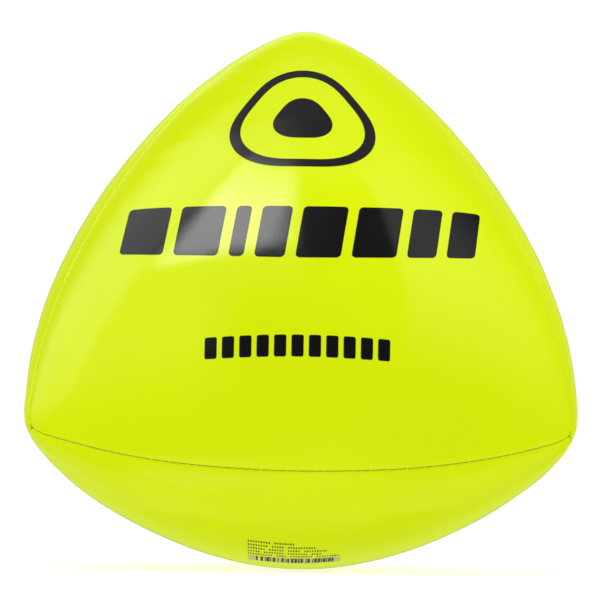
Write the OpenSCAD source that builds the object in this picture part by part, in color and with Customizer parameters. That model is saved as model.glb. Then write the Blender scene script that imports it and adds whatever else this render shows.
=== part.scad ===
// Reflex training ball: four domed triangular panels sewn edge to edge around an air bladder,
// so that the ball has the shape of a swollen tetrahedron and bounces off at odd angles.
// Millimetres. The origin is the ball's centre and +Z is up. The ball rests on its bottom panel,
// and the printed front panel faces -Y.

/* [Ball] */
// Height from the floor to the tip of the top corner
ball_height = 220; // [200:1:230]
// Doming of a panel: how far it has dropped one reach out from its middle, as a share of the reach
dome = 0.393; // [0.38:0.001:0.41]
// Extra doming that grows quickly towards the panel's edge
edge_dome = 0.0205; // [0.015:0.0005:0.03]
// How much the panel rises again towards its three corners
corner_rise = 0.078; // [0.06:0.001:0.09]
// Sharpness of the ridges where panels meet
ridge = 15; // [13:0.5:17]

/* [Panel laminate] */
// Thickness of the coated outer skin
skin_t = 0.9; // [0.7:0.1:1.1]
// Thickness of the foam backing
foam_t = 1.6; // [1.2:0.1:1.8]
// Thickness of the textile lining
lining_t = 0.6; // [0.4:0.1:0.7]

/* [Seams] */
// Width of the turned-in edge of a panel
seam_allowance = 8; // [7.5:0.5:9]
// Radius of the fold where the skin turns inwards
fold = 0.8; // [0.5:0.1:1]
// Width of the slit left between two panels
slit = 0.4; // [0.2:0.1:0.6]
// Distance from one stitch to the next
stitch_pitch = 3.4; // [3:0.1:5]
// Diameter of the sewing thread
thread_d = 0.7; // [0.5:0.1:0.9]
// Bare length at each end of a seam
seam_end = 9; // [8:1:15]

/* [Bladder and valve] */
// Wall of the bladder
bladder_t = 1; // [0.8:0.1:1.2]
// Sharpness of the bladder's own ridges, softer than the cover's
bladder_ridge = 7; // [6.5:0.5:8]
// Gap between the lining and the bladder
bladder_gap = 1; // [0.9:0.1:1.3]
// Diameter of the hole that the three cover layers leave for the valve
valve_hole_d = 9; // [9:0.5:11]
// Diameter of the rubber patch that joins the valve to the bladder
patch_d = 26; // [24:1:28]
// Diameter of the valve's neck and of the wide flange inside the patch
neck_d = 8.6; // [8:0.1:8.8]
valve_flange_d = 18; // [16:1:20]
// Depth of the valve's closed end below the skin
valve_depth = 20; // [19:1:24]
// Diameter of the passage for the pump needle
needle_d = 2.1; // [2:0.1:2.3]
// Depth of the needle passage below the skin
needle_depth = 12; // [10:0.5:13]

/* [Prints] */
// Thickness of a printed film
ink_t = 0.15; // [0.1:0.05:0.25]
// How far the prints sit off their panels' middle lines
print_shift = -1.6; // [-3:0.1:3]
// Height of the emblem's middle above the panel's middle, and the emblem's radius
emblem_y = 52; // [46:1:54]
emblem_r = 27; // [22:1:29]
// How pointed the emblem's corners are
emblem_point = 0.1; // [0.05:0.01:0.12]
// Width of the emblem's outline, and the radius of its solid heart
emblem_line = 4; // [3:0.5:6]
emblem_heart_r = 11; // [8:1:13]
// Length and height of the row of bold blocks, and the height of its middle
band_l = 134; // [110:1:136]
band_h = 21; // [16:1:24]
band_y = -1; // [-6:1:3]
// How far the two ends of the row stand above its middle
band_bow = 9; // [0:1:10]
// Length and height of the row of small dashes, and the height of its middle
line_l = 70; // [50:1:80]
line_h = 7.4; // [4:0.1:9]
line_y = -43.5; // [-46:0.5:-36]
// Width of the information print on the bottom panel, and the place of its upper edge
info_l = 36; // [30:1:40]
info_y = -49.4; // [-52:0.1:-46]

/* [Hidden] */

$fn = 48;
SKIN = [0.86, 0.94, 0.1];
FOAM = [0.95, 0.95, 0.92];
CLOTH = [0.82, 0.83, 0.8];
THREAD = [0.9, 0.95, 0.45];
RUBBER = [0.12, 0.12, 0.12];
CORE = [0.3, 0.3, 0.32];
INK = [0.05, 0.05, 0.05];

panel_steps = 18;      // rows of facets from a panel's edge to the opposite corner
edge_crowding = 1.1;    // above 1, the facets get finer towards the edges
middle_crowding = 0.15; // above 0, the facets get finer towards the panel's middle
bladder_steps = [22, 34];
joint_gap = 0.02;      // glue line between two layers
lift = 0.08;           // ink above the skin, so that its flat facets clear it
facet_l = 5.5;         // longest facet of a printed film

// ---- The shape of the ball -------------------------------------------------------------
// Lengths here are in panel reaches: the distance from the ball's centre to a panel's middle.
// A panel's own frame has +Z out through its middle and +Y towards one of its corners.

side_lean = sqrt(8) / 3;                   // sine of the angle between two panels' normals
ROOT = [0, 0, 1];
function neighbour(a) = [side_lean * cos(a), side_lean * sin(a), -1 / 3];
function towards_floor(a) = [-cos(a) / 3, -sin(a) / 3, -side_lean];
NEIGHBOURS = [270, 30, 150];
CORNERS = [for (a = NEIGHBOURS) -neighbour(a)];
// Each panel as its normal, the direction towards a corner, and the one square to both
FRAMES = [for (f = concat([[ROOT, [0, 1, 0]]],
                          [for (a = NEIGHBOURS) [neighbour(a), towards_floor(a)]]))
    [f[0], f[1], cross(f[0], f[1])]];

function unit(v) = v / norm(v);
function total(v, i = 0) = i == len(v) - 1 ? v[i] : v[i] + total(v, i + 1);

// Height of the point p above one panel's dome, and the gradient of that height
function above_dome(p, f) =
    let (x = p * f[1], y = p * f[2], q = x * x + y * y,
         drop = 2 * dome + 4 * edge_dome * q,
         slope_x = 3 * corner_rise * (x * x - y * y) - drop * x,
         slope_y = -6 * corner_rise * x * y - drop * y)
    [p * f[0] - 1 + dome * q + edge_dome * q * q - corner_rise * x * (x * x - 3 * y * y),
     f[0] - slope_x * f[1] - slope_y * f[2]];

// The same for the four domes together, blended where they meet
function above_ball(p, sharp) =
    let (h = [for (f = FRAMES) above_dome(p, f)],
         top = max([for (a = h) a[0]]),
         w = [for (a = h) exp(sharp * (a[0] - top))],
         sum = total(w))
    [top + ln(sum) / sharp, total([for (i = [0:3]) w[i] * h[i][1]]) / sum];

// The point a depth under the ball's surface, found along a line by Newton's method
function unit_cast(base, dir, depth, sharp, t = 1, turns = 7) =
    turns == 0 ? base + t * dir :
    let (h = above_ball(base + t * dir, sharp), g = norm(h[1]))
    unit_cast(base, dir, depth, sharp, t - (h[0] / g + depth) * g / (h[1] * dir), turns - 1);

middle = unit_cast([0, 0, 0], ROOT, 0, ridge)[2];
tip = norm(unit_cast([0, 0, 0], CORNERS[0], 0, ridge));
reach = ball_height / (middle + tip);

// The same in millimetres
function cast(base, dir, depth, sharp = ridge) =
    reach * unit_cast(base / reach, dir, depth / reach, sharp);

// ---- Panels ----------------------------------------------------------------------------
// A panel fills the triangle between its three seam planes. Moving the apex of those planes
// along the panel's axis keeps an edge the same distance, side, away from all three.

plane_lean = sqrt(2 / 3);
function apex(side) = [0, 0, side / plane_lean];
function share(i) = pow(i / panel_steps, edge_crowding);
function grid_dir(i, j) =
    let (k = panel_steps - i - j,
         bulge = 27 * middle_crowding * i * j * k / pow(panel_steps, 3))
    unit(share(i) * CORNERS[0] + share(j) * CORNERS[1] + share(k) * CORNERS[2] + bulge * ROOT);
function sheet(depth, side) =
    [for (i = [0:panel_steps]) for (j = [0:panel_steps - i])
        cast(apex(side), grid_dir(i, j), depth)];
// The cells on the rim of the triangle, once around
RIM = concat([for (t = [0:panel_steps - 1]) [t, 0]],
             [for (t = [0:panel_steps - 1]) [panel_steps - t, t]],
             [for (t = [0:panel_steps - 1]) [0, panel_steps - t]]);
function rim(depth, side) = [for (r = RIM) cast(apex(side), grid_dir(r[0], r[1]), depth)];
function cell(i, j) = i * (2 * panel_steps + 3 - i) / 2 + j;

function sheet_faces() = [for (i = [0:panel_steps - 1]) for (j = [0:panel_steps - 1 - i])
    each concat([[cell(i, j), cell(i, j + 1), cell(i + 1, j)]],
                i + j < panel_steps - 1
                    ? [[cell(i + 1, j), cell(i, j + 1), cell(i + 1, j + 1)]] : [])];
function flip(faces, start) = [for (f = faces) [start + f[0], start + f[2], start + f[1]]];
function strip(a, b) = let (n = len(a)) [for (t = [0:n - 1]) let (u = (t + 1) % n)
    each [[a[t], a[u], b[u]], [a[t], b[u], b[t]]]];
function run(start, n) = [for (t = [0:n - 1]) start + t];

// One layer of the laminate as a cup: a domed sheet whose edge turns in along the seams
module cup(depth, thickness, side, fold) {
    hem = seam_allowance;
    outer = sheet(depth, side + fold);
    inner = sheet(depth + thickness, side + thickness);
    folds = fold > 0 ? [rim(depth + fold, side)] : [];
    rims = concat(folds, [rim(hem, side), rim(hem, side + thickness)]);
    n = len(RIM);
    inner_start = len(outer) + len(rims) * n;
    rim_cells = [for (r = RIM) cell(r[0], r[1])];
    loops = concat([rim_cells],
                   [for (k = [0:len(rims) - 1]) run(len(outer) + k * n, n)],
                   [[for (c = rim_cells) inner_start + c]]);
    polyhedron(
        points = concat(outer, [for (r = rims) each r], inner),
        faces = concat(sheet_faces(),
                       [for (k = [0:len(loops) - 2]) each strip(loops[k], loops[k + 1])],
                       flip(sheet_faces(), inner_start)));
}

foam_depth = skin_t + joint_gap;
lining_depth = foam_depth + foam_t + joint_gap;
laminate_t = lining_depth + lining_t;

module skin() color(SKIN) cup(0, skin_t, slit / 2, fold);
module foam() color(FOAM) cup(foam_depth, foam_t, slit / 2 + foam_depth, 0);
module lining() color(CLOTH) cup(lining_depth, lining_t, slit / 2 + lining_depth, 0);

module with_valve_hole() difference() {
    children();
    cylinder(d = valve_hole_d, h = ball_height);
}

// Where the four panels sit
panel_tilt = acos(1 / 3);
third = 120;
module at_front() rotate([panel_tilt, 0, 0]) children();
module at_right() rotate([0, 0, third]) at_front() children();
module at_left() rotate([0, 0, -third]) at_front() children();
module at_bottom() rotate([0, 180, 0]) children();

// ---- Seams -----------------------------------------------------------------------------
// A seam's own frame has X along the seam, Y outwards and Z across it into the next panel.

seam_lean = 180 - acos(plane_lean);
seam_half_angle = acos(-1 / 3) / 2;
ALONG = [1, 0, 0];
OUT = [0, cos(seam_lean), sin(seam_lean)];
module at_edge(turn) rotate([0, 0, turn]) rotate([seam_lean, 0, 0]) children();

function seam_point(angle, depth) =
    let (p = cast([0, 0, 0], sin(angle) * ALONG + cos(angle) * OUT, depth))
    [p * ALONG, p * OUT];

stitch_depth = laminate_t + thread_d / 2 + 0.2;  // just under the lining's inner face
rail_side = slit / 2 + laminate_t + 0.05;        // just beyond the turned-in edges
seam_samples = 60;

// Length along the seam against the angle, so that the stitches come out evenly spaced
function seam_table() =
    let (angle = [for (i = [0:seam_samples]) seam_half_angle * (2 * i / seam_samples - 1)],
         p = [for (a = angle) seam_point(a, stitch_depth)])
    [for (i = 0, s = 0; i <= seam_samples;
          s = s + (i < seam_samples ? norm(p[i + 1] - p[i]) : 0), i = i + 1) [s, angle[i]]];

// Lockstitch: a thread on each side of the turned-in edges, and a crossing at every needle hole
module seam_thread() {
    table = seam_table();
    seam_l = table[seam_samples][0];
    stitches = floor((seam_l - 2 * seam_end) / stitch_pitch);
    start = (seam_l - stitches * stitch_pitch) / 2;
    angles = [for (i = [0:stitches]) lookup(start + i * stitch_pitch, table)];
    half = thread_d / 2;
    color(THREAD) {
        for (side = [rail_side, -rail_side - thread_d])
            translate([0, 0, side]) linear_extrude(thread_d)
                polygon(concat(
                    [for (a = angles) seam_point(a, stitch_depth - half)],
                    [for (i = [stitches:-1:0]) seam_point(angles[i], stitch_depth + half)]));
        for (a = angles)
            translate(concat(seam_point(a, stitch_depth), -rail_side - half))
                cylinder(d = 0.8 * thread_d, h = 2 * rail_side + thread_d, $fn = 16);
    }
}

// ---- Bladder and valve -----------------------------------------------------------------
// The valve stands in the middle of the right back panel, along that panel's own Z.

bladder_depth = laminate_t + bladder_gap;
skin_z = middle * reach;
patch_top = skin_z - bladder_depth - 0.4;
patch_t = 2.4;
patch_bottom = patch_top - patch_t;

function ball_dir(lat, lon) = [cos(lat) * cos(lon), cos(lat) * sin(lon), sin(lat)];

// A closed round sheet in the ball's frame, as rows from the bottom pole to the top pole
function bladder_points(depth) =
    let (rows = bladder_steps[0], cols = bladder_steps[1])
    concat([cast([0, 0, 0], ball_dir(-90, 0), depth, bladder_ridge)],
           [for (r = [1:rows - 1]) for (c = [0:cols - 1])
               cast([0, 0, 0], ball_dir(-90 + 180 * r / rows, 360 * c / cols), depth,
                    bladder_ridge)],
           [cast([0, 0, 0], ball_dir(90, 0), depth, bladder_ridge)]);
function bladder_faces() =
    let (rows = bladder_steps[0], cols = bladder_steps[1], last = (rows - 1) * cols + 1,
         at = function (r, c) 1 + (r - 1) * cols + c % cols)
    concat([for (c = [0:cols - 1]) [0, at(1, c), at(1, c + 1)]],
           [for (r = [1:rows - 2]) for (c = [0:cols - 1])
               each [[at(r, c), at(r + 1, c), at(r + 1, c + 1)],
                     [at(r, c), at(r + 1, c + 1), at(r, c + 1)]]],
           [for (c = [0:cols - 1]) [last, at(rows - 1, c + 1), at(rows - 1, c)]]);

module bladder_solid(depth)
    polyhedron(points = bladder_points(depth), faces = bladder_faces());

module bladder() color(RUBBER) difference() {
    // The sheets are found in a panel's own frame, so they are turned to the ball's frame
    at_bottom() difference() {
        bladder_solid(bladder_depth);
        bladder_solid(bladder_depth + bladder_t);
    }
    at_right() cylinder(d = patch_d, h = ball_height);
}

module valve_patch() color(RUBBER) at_right() translate([0, 0, patch_bottom])
    difference() {
        cylinder(d = patch_d - 2 * joint_gap, h = patch_t);
        translate([0, 0, -1]) cylinder(d = neck_d + 2 * joint_gap, h = patch_t + 2);
    }

neck_top = skin_z - 0.3;
flange_t = 1.5;
boot_d = 10;
cavity_d = 5;
cavity_floor = 2.5;
seat_d = 6.4;
seat_t = 1.2;

module valve_body() color(RUBBER) at_right() difference() {
    union() {
        translate([0, 0, patch_bottom - flange_t])
            cylinder(d = neck_d, h = neck_top - patch_bottom + flange_t);
        translate([0, 0, patch_bottom - joint_gap - flange_t])
            cylinder(d = valve_flange_d, h = flange_t);
        translate([0, 0, skin_z - valve_depth])
            cylinder(d = boot_d, h = valve_depth - (skin_z - patch_bottom) - flange_t / 2);
    }
    translate([0, 0, skin_z - valve_depth + cavity_floor]) cylinder(d = cavity_d, h = valve_depth);
    translate([0, 0, neck_top - seat_t]) cylinder(d = seat_d, h = seat_t + 1);
}

core_d = cavity_d - 2 * joint_gap;
core_head_d = seat_d - 2 * joint_gap;
core_top = neck_top - 0.2;
lead_in = 0.8;

module valve_core() color(CORE) at_right() difference() {
    union() {
        translate([0, 0, neck_top - seat_t + joint_gap])
            cylinder(d = core_head_d, h = core_top - neck_top + seat_t - joint_gap);
        translate([0, 0, skin_z - valve_depth + cavity_floor + 1])
            cylinder(d = core_d, h = core_top - skin_z + valve_depth - cavity_floor - 1);
    }
    translate([0, 0, skin_z - needle_depth]) cylinder(d = needle_d, h = needle_depth);
    translate([0, 0, core_top - lead_in])
        cylinder(d1 = needle_d, d2 = needle_d + 2 * lead_in, h = lead_in);
}

// ---- Prints ----------------------------------------------------------------------------
// A printed film follows the panel it lies on. Its outline is given flat, in the panel's plane.

function on_skin(p, height) = cast([p[0], p[1], 0], ROOT, -height);

// A film over a grid of flat points, given as rows of equal length. In a closed film each row
// runs once around, from the outermost row inwards, and a filled one has no hole in its middle.
module film(rows, closed = false, filled = false) {
    n = len(rows);
    m = len(rows[0]);
    flat = [for (r = rows) each r];
    count = n * m;
    at = function (r, c) r * m + c % m;
    cells = closed ? m : m - 1;
    heart = filled ? [for (c = [1:m - 2]) [at(n - 1, 0), at(n - 1, c + 1), at(n - 1, c)]] : [];
    top = concat(heart, [for (r = [0:n - 2]) for (c = [0:cells - 1])
        each [[at(r, c), at(r + 1, c + 1), at(r, c + 1)],
              [at(r, c), at(r + 1, c), at(r + 1, c + 1)]]]);
    outer = closed
        ? [for (c = [0:m - 1]) at(0, c)]
        : concat([for (c = [0:m - 1]) at(0, c)], [for (r = [1:n - 1]) at(r, m - 1)],
                 [for (c = [m - 2:-1:0]) at(n - 1, c)], [for (r = [n - 2:-1:1]) at(r, 0)]);
    inner = closed && !filled ? [for (c = [m - 1:-1:0]) at(n - 1, c)] : [];
    polyhedron(
        points = concat([for (p = flat) on_skin(p, lift + ink_t)],
                        [for (p = flat) on_skin(p, lift)]),
        faces = concat(top, flip(top, count),
                       [for (loop = [outer, inner])
                           if (len(loop) > 0) each strip(loop, [for (i = loop) count + i])]));
}

// A four-cornered block of ink: x0 to x1 at its middle height, leaning to the right
module block(x0, x1, y, height, lean = 0, bow = function (x) 0) {
    across = ceil((x1 - x0) / facet_l);
    up = ceil(height / facet_l);
    film([for (r = [0:up]) let (v = r / up - 0.5) [for (c = [0:across])
        let (x = x0 + (x1 - x0) * c / across + lean * height * v)
        [x, y + bow(x) + height * v]]]);
}

// The emblem is the ball's own outline: a rounded triangle that points up, and a small one in it
function soft_loop(r, n) = [for (i = [0:n - 1]) let (a = 360 * i / n)
    r * (1 + emblem_point * cos(3 * (a - 90))) * [cos(a), sin(a)] + [print_shift, emblem_y]];

module emblem_print() color(INK) at_front() {
    film([soft_loop(emblem_r, 48), soft_loop(emblem_r - emblem_line, 48)], closed = true);
    film([for (share = [1, 0.6, 0.2]) soft_loop(share * emblem_heart_r, 24)],
         closed = true, filled = true);
}

// Bold blocks of four widths, one beside the other with equal gaps
BLOCKS = [3, 3, 1, 2, 3, 3, 2, 2];
block_gap = 4;
block_lean = 0.15;
module band_print() color(INK) at_front() {
    unit_l = (band_l - block_gap * (len(BLOCKS) - 1)) / total(BLOCKS);
    for (i = [0:len(BLOCKS) - 1])
        let (before = i == 0 ? 0 : total([for (k = [0:i - 1]) BLOCKS[k]]),
             x0 = print_shift - band_l / 2 + before * unit_l + i * block_gap)
        block(x0, x0 + BLOCKS[i] * unit_l, band_y, band_h, block_lean,
              function (x) band_bow * pow(2 * (x - print_shift) / band_l, 2));
}

dashes = 11;
dash_share = 0.7;
module line_print() color(INK) at_front()
    for (i = [0:dashes - 1]) let (pitch = line_l / dashes, x0 = print_shift - line_l / 2 + i * pitch)
        block(x0, x0 + dash_share * pitch, line_y, line_h);

// Lengths of the rows as shares of the print's width. They start at the panel's +X side.
info_rows = [0.5, 0.72, 0.83, 0.78, 1];
info_row_h = 1.5;
info_row_pitch = 3;
code_bars = 21;
code_h = 6.4;
module info_print() color(INK) at_bottom() {
    start = info_l / 2 - print_shift;
    for (r = [0:len(info_rows) - 1])
        block(start - info_rows[r] * info_l, start, info_y + info_row_pitch * (r + 0.5),
              info_row_h);
    for (i = [0:code_bars - 1]) let (pitch = info_l / code_bars, x0 = start - (i + 0.75) * pitch)
        block(x0, x0 + pitch / 2, info_y + info_row_pitch * len(info_rows) + code_h / 2 + 1,
              code_h);
}

at_front() skin();  // front_panel
at_bottom() skin();  // bottom_panel
at_left() skin();  // left_panel
at_right() with_valve_hole() skin();  // right_panel
at_front() foam();  // front_foam
at_bottom() foam();  // bottom_foam
at_left() foam();  // left_foam
at_right() with_valve_hole() foam();  // right_foam
at_front() lining();  // front_lining
at_bottom() lining();  // bottom_lining
at_left() lining();  // left_lining
at_right() with_valve_hole() lining();  // right_lining
at_front() at_edge(0) seam_thread();  // front_bottom_seam
at_front() at_edge(-third) seam_thread();  // front_left_seam
at_front() at_edge(third) seam_thread();  // front_right_seam
at_right() at_edge(third) seam_thread();  // back_seam
at_left() at_edge(0) seam_thread();  // bottom_left_seam
at_right() at_edge(0) seam_thread();  // bottom_right_seam
bladder();
valve_patch();
valve_body();
valve_core();
emblem_print();
band_print();
line_print();
info_print();
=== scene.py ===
"""Looks for the reflex training ball: a glossy yellow cover of four domed panels with machine-sewn
seams, its black prints, the layers inside it, and a plain white studio.

Lengths are in millimetres until a mesh is made, and the mesh itself is in metres."""

import math

import bpy
import numpy as np
from mathutils import Matrix, Vector
from mathutils.bvhtree import BVHTree


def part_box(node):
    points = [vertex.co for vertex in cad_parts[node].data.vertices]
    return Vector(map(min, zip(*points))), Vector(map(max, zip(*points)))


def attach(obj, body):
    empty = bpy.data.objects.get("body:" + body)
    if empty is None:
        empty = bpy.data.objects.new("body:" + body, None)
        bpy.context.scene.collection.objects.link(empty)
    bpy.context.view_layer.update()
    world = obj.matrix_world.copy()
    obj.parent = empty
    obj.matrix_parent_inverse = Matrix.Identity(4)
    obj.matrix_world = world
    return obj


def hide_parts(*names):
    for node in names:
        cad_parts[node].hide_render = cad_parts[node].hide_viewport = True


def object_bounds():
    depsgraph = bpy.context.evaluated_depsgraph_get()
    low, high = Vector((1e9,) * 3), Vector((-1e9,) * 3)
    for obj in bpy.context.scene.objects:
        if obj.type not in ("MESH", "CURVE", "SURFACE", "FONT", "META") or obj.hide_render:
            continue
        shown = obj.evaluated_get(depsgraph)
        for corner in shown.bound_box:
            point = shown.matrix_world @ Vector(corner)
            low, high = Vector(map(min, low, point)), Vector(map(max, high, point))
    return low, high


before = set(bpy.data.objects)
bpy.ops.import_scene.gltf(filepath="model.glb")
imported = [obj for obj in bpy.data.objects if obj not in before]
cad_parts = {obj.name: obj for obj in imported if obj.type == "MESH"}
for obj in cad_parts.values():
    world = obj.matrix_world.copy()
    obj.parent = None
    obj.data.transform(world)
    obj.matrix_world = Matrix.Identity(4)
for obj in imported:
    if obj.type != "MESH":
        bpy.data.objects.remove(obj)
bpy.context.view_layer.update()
BODY = "root"
MM = 0.001

# ---- Sizes ----
REACH = -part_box("bottom_panel")[0].z / MM   # from the ball's centre to a panel's middle

# The shape of a panel's dome, in reaches, the same as in the CAD source
DOME = 0.393
EDGE_DOME = 0.0205
CORNER_RISE = 0.078
RIDGE = 15.0

# The laminate: outer skin, foam backing, textile lining
SKIN_T = 0.9
FOAM_T = 1.6
LINING_T = 0.6
GLUE = 0.02
HEM = 8.0            # how far a panel's edge is turned in
FOLD = 0.75          # radius of the fold where the skin turns in
SLIT = 0.26          # gap between two panels
FOLD_DROP = 2.1      # how far the skin goes straight down after the fold

# Seams
STITCHES = 63        # stitch pitches from corner to corner
FIRST_STITCH = 3     # the first stitch stands this many pitches from a corner
THREAD_R = 0.25
FINE_PER_STITCH = 8  # mesh columns per stitch pitch along a panel's edge
COARSEN = 4          # edge columns per column of the mesh inside the panel
ROUND_R = 3.2        # radius of a panel's corners
SEAM_SINK = 0.3      # how deep the seam is drawn in, and how far that reaches
SEAM_SINK_REACH = 4.0
STITCH_SINK = 0.16   # the same for the dimple at each stitch
STITCH_SINK_REACH = 2.4

CROSS_DEPTH = 0.36   # depth of a stitch's crossing thread under the drawn-in edge
CROSS_SLANT = 0.35
SINK_SHARE = 0.9     # the threads follow this share of the skin's relief
RAIL_SIDE = 3.75     # the running threads, to the side of the seam and under the skin
RAIL_DEPTH = 3.5
RAIL_WAVE = 0.25
RAIL_OVERHANG = 1.5  # how far they run on past the first and the last stitch

# The valve's hole in the right back panel
VALVE_HOLE_R = 4.5
HOLE_ROUND = 0.35
HOLE_RING = 6.2      # a ring of points on the flat skin next to it
HOLE_COLLAR = 9.0    # rings of points around the hole start here
HOLE_CLEAR = 12.0    # and the panel's lattice stops here
HOLE_POINTS = 64

# Prints
FILM_T = 0.05
FILM_LIFT = 0.03
GROUND_LIFT = 0.01
CORNER_STEPS = 4
PRINT_SHIFT = -1.6
EMBLEM_Y = 52.0
EMBLEM_R = 27.0
EMBLEM_POINT = 0.1
EMBLEM_LINE = 4.0
EMBLEM_HEART_R = 11.0
EMBLEM_POINTS = 144
BLOCKS = (3, 3, 1, 2, 3, 3, 2, 2)
BLOCK_GAP = 4.0
BLOCK_LEAN = 0.15
BLOCK_ROUND = 1.6
BAND_L = 134.0
BAND_H = 21.0
BAND_Y = -1.0
BAND_BOW = 9.0
DASHES = 11
DASH_SHARE = 0.7
DASH_ROUND = 0.7
LINE_L = 70.0
LINE_H = 7.4
LINE_Y = -43.5
INFO_L = 36.0
INFO_SHIFT = 1.6
INFO_Y = -49.4
INFO_ROWS = (18.0, 26.0, 30.0, 28.0, 36.0)   # lengths of the rows of fine strokes
INFO_PITCH = 3.0
STROKE_H = 1.5
STROKE_W = 0.5
STROKE_ROUND = 0.1
WORD = (4, 12)       # strokes in a word: at least, and fewer than
WORD_GAP = 1.3
CODE_H = 6.4
CODE_GAP = 1.0
CODE_Y = INFO_Y + INFO_PITCH * len(INFO_ROWS) + CODE_GAP + CODE_H / 2
CODE_BARS = (0.35, 0.35, 0.7, 1.0)
CODE_MARGINS = (3.0, 2.0)
GROUND_MARGIN = 0.4
GROUND_ROUND = 0.3
INFO_SEED = 4

LATTICE = STITCHES * FINE_PER_STITCH // COARSEN
EDGE_ROWS = (3.6, 2.7, 2.0, 1.5)   # distance from the seam plane of the rows next to the fold
FOLD_STEPS = 6
MIDDLE_CROWDING = 0.3


# ---- The shape of the ball ----
# A panel's own frame has +Z out through its middle and +Y towards one of its corners.
def unit(v):
    return v / np.linalg.norm(v, axis=-1, keepdims=True)


def neighbour(azimuth):
    """The normal of the panel next to this one on that side."""
    a = math.radians(azimuth)
    lean = math.sqrt(8) / 3
    return np.array([lean * math.cos(a), lean * math.sin(a), -1 / 3])


def dome_frame(azimuth):
    """A neighbouring dome's normal and its two directions across."""
    a = math.radians(azimuth)
    normal = neighbour(azimuth)
    towards_corner = np.array([-math.cos(a) / 3, -math.sin(a) / 3, -math.sqrt(8) / 3])
    return normal, towards_corner, np.cross(normal, towards_corner)


OUTWARD = np.array([0.0, 0.0, 1.0])
ORIGIN = np.zeros(3)
CORNERS = [-neighbour(a) for a in (270, 30, 150)]
DOMES = [(OUTWARD, np.array([0.0, 1.0, 0.0]), np.array([-1.0, 0.0, 0.0]))]
DOMES += [dome_frame(a) for a in (270, 30, 150)]
SPAN = math.acos(-1 / 3)              # angle between two corners, seen from the centre
PLANE_LEAN = math.sqrt(2 / 3)
SIDES = [(CORNERS[k - 1], CORNERS[k]) for k in range(3)]


def above_ball(points):
    """Height of points above the four blended domes, and its gradient. Both in reaches."""
    heights, slopes = [], []
    for normal, u, w in DOMES:
        x, y = points @ u, points @ w
        q = x * x + y * y
        drop = 2 * DOME + 4 * EDGE_DOME * q
        slope_x = 3 * CORNER_RISE * (x * x - y * y) - drop * x
        slope_y = -6 * CORNER_RISE * x * y - drop * y
        heights.append(points @ normal - 1 + DOME * q + EDGE_DOME * q * q
                       - CORNER_RISE * x * (x * x - 3 * y * y))
        slopes.append(normal - slope_x[:, None] * u - slope_y[:, None] * w)
    heights = np.array(heights)
    top = heights.max(0)
    weights = np.exp(RIDGE * (heights - top))
    share = weights / weights.sum(0)
    return top + np.log(weights.sum(0)) / RIDGE, np.einsum("ij,ijk->jk", share, np.array(slopes))


def cast(base, direction, depth, turns=9):
    """Points a depth under the ball's surface on the lines base + t * direction, and the outward
    normals there."""
    base = np.broadcast_to(np.asarray(base, float) / REACH, np.shape(direction))
    depth = np.broadcast_to(np.asarray(depth, float) / REACH, len(direction))
    t = np.ones(len(direction))
    for _ in range(turns):
        height, slope = above_ball(base + t[:, None] * direction)
        size = np.linalg.norm(slope, axis=1)
        t = t - (height / size + depth) * size / (slope * direction).sum(1)
    points = base + t[:, None] * direction
    return points * REACH, unit(above_ball(points)[1])


def edge_direction(side, share):
    """Directions along one side of a panel: share 0 is its first corner and 1 its second."""
    first, second = SIDES[side]
    share = np.asarray(share)[:, None]
    return unit(np.sin((1 - share) * SPAN) * first + np.sin(share * SPAN) * second)


def seam_ruler(samples=601):
    """Length along a seam against the share of its angle."""
    share = np.linspace(0, 1, samples)
    points, _ = cast(ORIGIN, edge_direction(0, share), 0)
    steps = np.linalg.norm(np.diff(points, axis=0), axis=1)
    return share, np.concatenate([[0], np.cumsum(steps)])


RULER = seam_ruler()
SEAM_L = RULER[1][-1]
PITCH = SEAM_L / STITCHES


def even_shares(count):
    """Shares of a seam's angle at even steps along its length."""
    return np.interp(np.linspace(0, SEAM_L, count + 1), RULER[1], RULER[0])


def apex(inset):
    """Where a panel's rays start, so that its edge keeps this distance from all three seams."""
    inset = np.atleast_1d(inset)
    return np.stack([0 * inset, 0 * inset, inset / PLANE_LEAN], axis=1)


def rotation(axis, degrees):
    return np.array(Matrix.Rotation(math.radians(degrees), 3, axis))


FRONT = rotation("X", math.degrees(math.acos(1 / 3)))
PANELS = {
    "front": FRONT,
    "bottom": rotation("Y", 180),
    "left": rotation("Z", -120) @ FRONT,
    "right": rotation("Z", 120) @ FRONT,
}
BALL_CORNERS = [OUTWARD] + [-(PANELS[name] @ OUTWARD) for name in ("front", "left", "right")]
CORNER_PUSH = (0.8, 1.6, 1.8, 2.4)   # how far the seams' knots push the four corners out
CORNER_PUSH_REACH = 12.0
DENT_PLACE = FRONT @ np.array([76.0, -36.0, 70.0])   # a small pressed-in mark on the front panel
DENT_DEPTH = 0.28
DENT_REACH = 2.4
RELIEF_SEED = 11


# ---- Relief: small ups and downs of a sewn, inflated panel ----
def seam_places(points):
    """For each side of the panel: distance from the seam plane, and length along the seam."""
    for first, second in SIDES:
        along, out = unit(second - first), unit(first + second)
        across = np.cross(along, out)
        across = across * -np.sign(across[2])
        share = np.arctan2(points @ along, points @ out) / SPAN + 0.5
        yield -(points @ across), np.interp(share, RULER[0], RULER[1])


def stitch_shape(run):
    """1 at a stitch and 0 half way to the next one, fading out next to the corners."""
    from_end = np.minimum(run, SEAM_L - run) / PITCH
    fade = np.clip(from_end - FIRST_STITCH + 1, 0, 1)
    return fade * (0.5 + 0.5 * np.cos(2 * np.pi * run / PITCH))


def seam_relief(points):
    """How far the seams draw the skin in."""
    depth = np.zeros(len(points))
    for inset, run in seam_places(points):
        inset = np.maximum(inset, 0)
        depth += SEAM_SINK * np.exp(-inset / SEAM_SINK_REACH)
        depth += STITCH_SINK * np.exp(-inset / STITCH_SINK_REACH) * stitch_shape(run)
    return depth


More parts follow.
